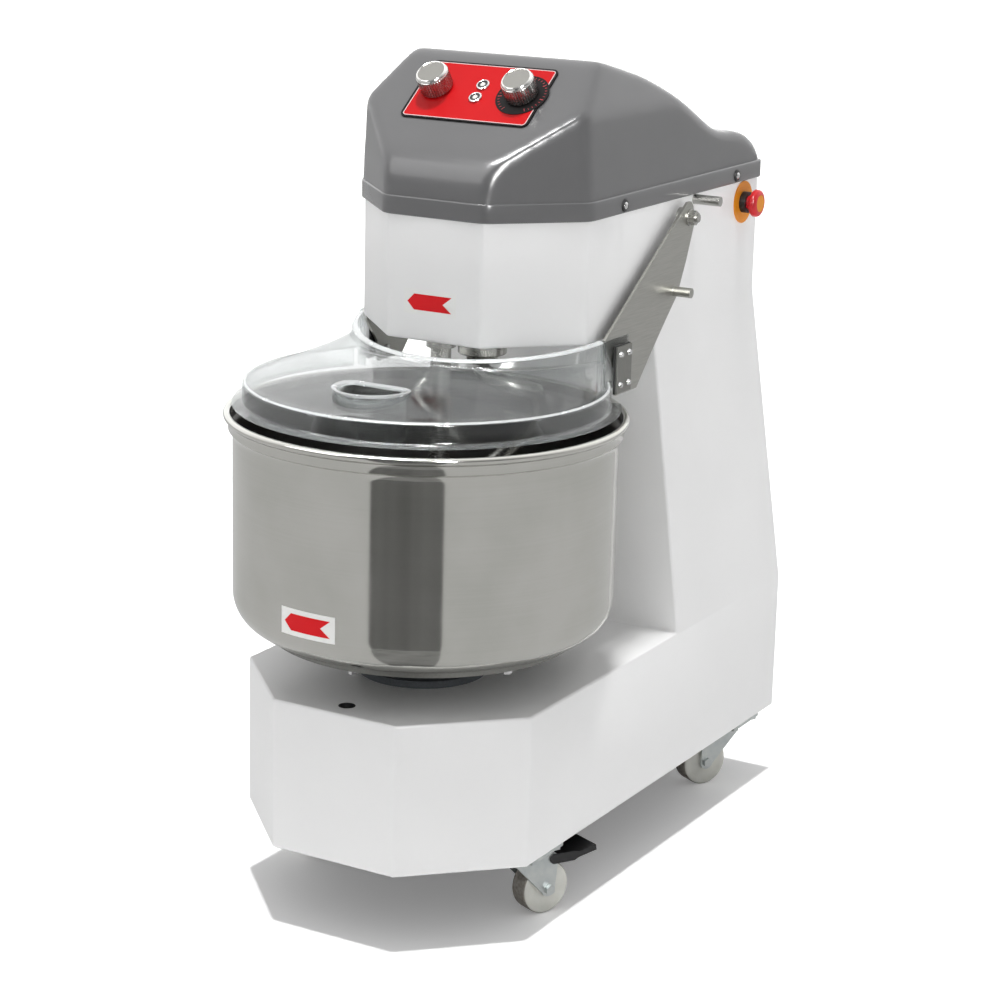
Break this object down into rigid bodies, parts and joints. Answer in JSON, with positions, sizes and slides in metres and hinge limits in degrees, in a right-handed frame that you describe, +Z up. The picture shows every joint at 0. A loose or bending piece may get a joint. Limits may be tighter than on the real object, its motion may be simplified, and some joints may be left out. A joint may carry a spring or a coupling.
{
  "type": "spiral dough mixer",
  "caption": "Commercial spiral dough mixer on castors: turning bowl under a spiral hook, clear visor lid, grey control hood.",
  "frame": {"origin": "on the floor, under the centre of the machine's bounding box", "axes": "+Z up, +X to the machine's right seen from the front, -Y to the front where the bowl is"},
  "size_m": [0.5454, 0.9627, 1.141],
  "materials": {
    "painted_casing": "light grey-white powder coat, smooth satin",
    "hood_plastic": "mid grey moulded shell, semi-gloss",
    "stainless": "stainless sheet and bar, satin to bright",
    "clear_sheet": "clear formed polycarbonate",
    "zinc_steel": "zinc plated pressed steel",
    "knob_metal": "knurled and turned, bright edge",
    "black_plastic": "moulded black",
    "black_rubber": "moulded rubber",
    "belt_rubber": "fabric backed belt",
    "panel_red": "red printed foil under clear film, thin white inset line, black border",
    "stop_red": "moulded red",
    "stop_yellow": "yellow printed disc, bare",
    "castor_nylon": "cast nylon, off white",
    "cast_metal": "machined casting",
    "motor_paint": "sprayed motor housing",
    "screw_steel": "bright plated"
  },
  "bodies": {
    "frame": {"base_shell": "painted_casing", "column_shell": "painted_casing", "head_shell": "painted_casing", "floor_plate": "cast_metal", "rear_cover": "painted_casing", "cover_screws": "screw_steel", "drive_plate": "cast_metal", "spiral_motor": "motor_paint", "drive_belts": "belt_rubber", "spiral_housing": "cast_metal", "shaft_bearings": "screw_steel", "breaker_bar": "stainless", "bowl_housing": "cast_metal", "bowl_gearmotor": "motor_paint", "gearmotor_shelf": "cast_metal", "hood": "hood_plastic", "control_panel": "panel_red", "dial_scale": "black_plastic", "dial_timers": "black_plastic", "button_bezels": "screw_steel", "stop_plate": "stop_yellow", "stop_collar": "black_plastic", "control_box": "cast_metal", "cable_gland": "black_plastic", "spring_posts": "stainless", "lid_pivots": "stainless", "castor_plates": "zinc_steel"},
    "bowl": {"bowl": "stainless", "bowl_bottom": "stainless", "bowl_turntable": "stainless", "bowl_bolts": "screw_steel", "bowl_shaft": "stainless", "bowl_pulley": "cast_metal"},
    "spiral": {"spiral_hook": "stainless", "spiral_shaft": "stainless", "spiral_pulley": "cast_metal"},
    "spiral_drive": {"motor_pulley": "cast_metal"},
    "bowl_drive": {"bowl_drive_pulley": "cast_metal"},
    "lid": {"lid_shell": "clear_sheet", "lid_chute": "clear_sheet", "lid_arm_left": "stainless", "lid_arm_right": "stainless", "lid_gaskets": "black_rubber", "lid_clamp_plates": "stainless", "lid_bolts": "screw_steel"},
    "left_knob": {"knob_left": "knob_metal"},
    "right_knob": {"knob_right": "knob_metal"},
    "start_button": {"button_start": "black_plastic"},
    "stop_push": {"button_stop": "black_plastic"},
    "emergency_stop": {"stop_button": "stop_red"},
    "swivel_front_left": {"fork_front_left": "zinc_steel"},
    "roller_front_left": {"wheel_front_left": "castor_nylon"},
    "swivel_front_right": {"fork_front_right": "zinc_steel"},
    "roller_front_right": {"wheel_front_right": "castor_nylon"},
    "swivel_rear_left": {"fork_rear_left": "zinc_steel"},
    "roller_rear_left": {"wheel_rear_left": "castor_nylon"},
    "swivel_rear_right": {"fork_rear_right": "zinc_steel"},
    "roller_rear_right": {"wheel_rear_right": "castor_nylon"},
    "brake_left": {"pedal_left": "black_plastic"},
    "brake_right": {"pedal_right": "black_plastic"}
  },
  "joints": [
    {"name": "bowl_spin", "type": "hinge", "parent": "frame", "child": "bowl", "pos_m": [0, -0.20865, 0.4], "axis": [0, 0, 1], "continuous": true},
    {"name": "spiral_spin", "type": "hinge", "parent": "frame", "child": "spiral", "pos_m": [0, -0.06365, 0.7], "axis": [0, 0, 1], "continuous": true},
    {"name": "spiral_motor_spin", "type": "hinge", "parent": "frame", "child": "spiral_drive", "pos_m": [0, 0.26135, 0.96], "axis": [0, 0, 1], "continuous": true},
    {"name": "bowl_motor_spin", "type": "hinge", "parent": "frame", "child": "bowl_drive", "pos_m": [0, 0.29135, 0.175], "axis": [0, 0, 1], "continuous": true},
    {"name": "lid_open", "type": "hinge", "parent": "frame", "child": "lid", "pos_m": [0, 0.17635, 0.911], "axis": [-1, 0, 0], "range_deg": [0, 60]},
    {"name": "left_knob_turn", "type": "hinge", "parent": "frame", "child": "left_knob", "pos_m": [-0.066, -0.08524, 1.09346], "axis": [0, -0.6018, 0.7986], "range_deg": [-60, 60]},
    {"name": "right_knob_turn", "type": "hinge", "parent": "frame", "child": "right_knob", "pos_m": [0.066, -0.08524, 1.09346], "axis": [0, -0.6018, 0.7986], "range_deg": [-300, 0]},
    {"name": "start_press", "type": "slide", "parent": "frame", "child": "start_button", "axis": [0, 0.6018, -0.7986], "range_m": [0, 0.002], "stiffness_N_per_m": 400},
    {"name": "stop_press", "type": "slide", "parent": "frame", "child": "stop_push", "axis": [0, 0.6018, -0.7986], "range_m": [0, 0.002], "stiffness_N_per_m": 400},
    {"name": "emergency_press", "type": "slide", "parent": "frame", "child": "emergency_stop", "axis": [-1, 0, 0], "range_m": [0, 0.004], "stiffness_N_per_m": 1200},
    {"name": "swivel_turn_front_right", "type": "hinge", "parent": "frame", "child": "swivel_front_right", "pos_m": [0.175, -0.23365, 0.09], "axis": [0, 0, 1], "continuous": true},
    {"name": "wheel_spin_front_right", "type": "hinge", "parent": "swivel_front_right", "child": "roller_front_right", "pos_m": [0.18964, -0.20076, 0.0375], "axis": [0.9135, -0.4067, 0], "continuous": true},
    {"name": "brake_press_right", "type": "hinge", "parent": "swivel_front_right", "child": "brake_right", "pos_m": [0.1929, -0.19345, 0.08], "axis": [-0.9135, 0.4067, 0], "range_deg": [0, 12]},
    {"name": "swivel_turn_front_left", "type": "hinge", "parent": "frame", "child": "swivel_front_left", "pos_m": [-0.175, -0.23365, 0.09], "axis": [0, 0, 1], "continuous": true},
    {"name": "wheel_spin_front_left", "type": "hinge", "parent": "swivel_front_left", "child": "roller_front_left", "pos_m": [-0.16751, -0.19844, 0.0375], "axis": [0.9781, -0.2079, 0], "continuous": true},
    {"name": "brake_press_left", "type": "hinge", "parent": "swivel_front_left", "child": "brake_left", "pos_m": [-0.16585, -0.19061, 0.08], "axis": [-0.9781, 0.2079, 0], "range_deg": [0, 12]},
    {"name": "swivel_turn_rear_right", "type": "hinge", "parent": "frame", "child": "swivel_rear_right", "pos_m": [0.175, 0.39635, 0.09], "axis": [0, 0, 1], "continuous": true},
    {"name": "wheel_spin_rear_right", "type": "hinge", "parent": "swivel_rear_right", "child": "roller_rear_right", "pos_m": [0.157, 0.36517, 0.0375], "axis": [-0.866, 0.5, 0], "continuous": true},
    {"name": "swivel_turn_rear_left", "type": "hinge", "parent": "frame", "child": "swivel_rear_left", "pos_m": [-0.175, 0.39635, 0.09], "axis": [0, 0, 1], "continuous": true},
    {"name": "wheel_spin_rear_left", "type": "hinge", "parent": "swivel_rear_left", "child": "roller_rear_left", "pos_m": [-0.18371, 0.36142, 0.0375], "axis": [-0.9703, 0.2419, 0], "continuous": true}
  ],
  "couplings": [
    {"joint": "spiral_motor_spin", "follows": "spiral_spin", "ratio": 2.4583},
    {"joint": "bowl_motor_spin", "follows": "bowl_spin", "ratio": 3.3333}
  ]
}
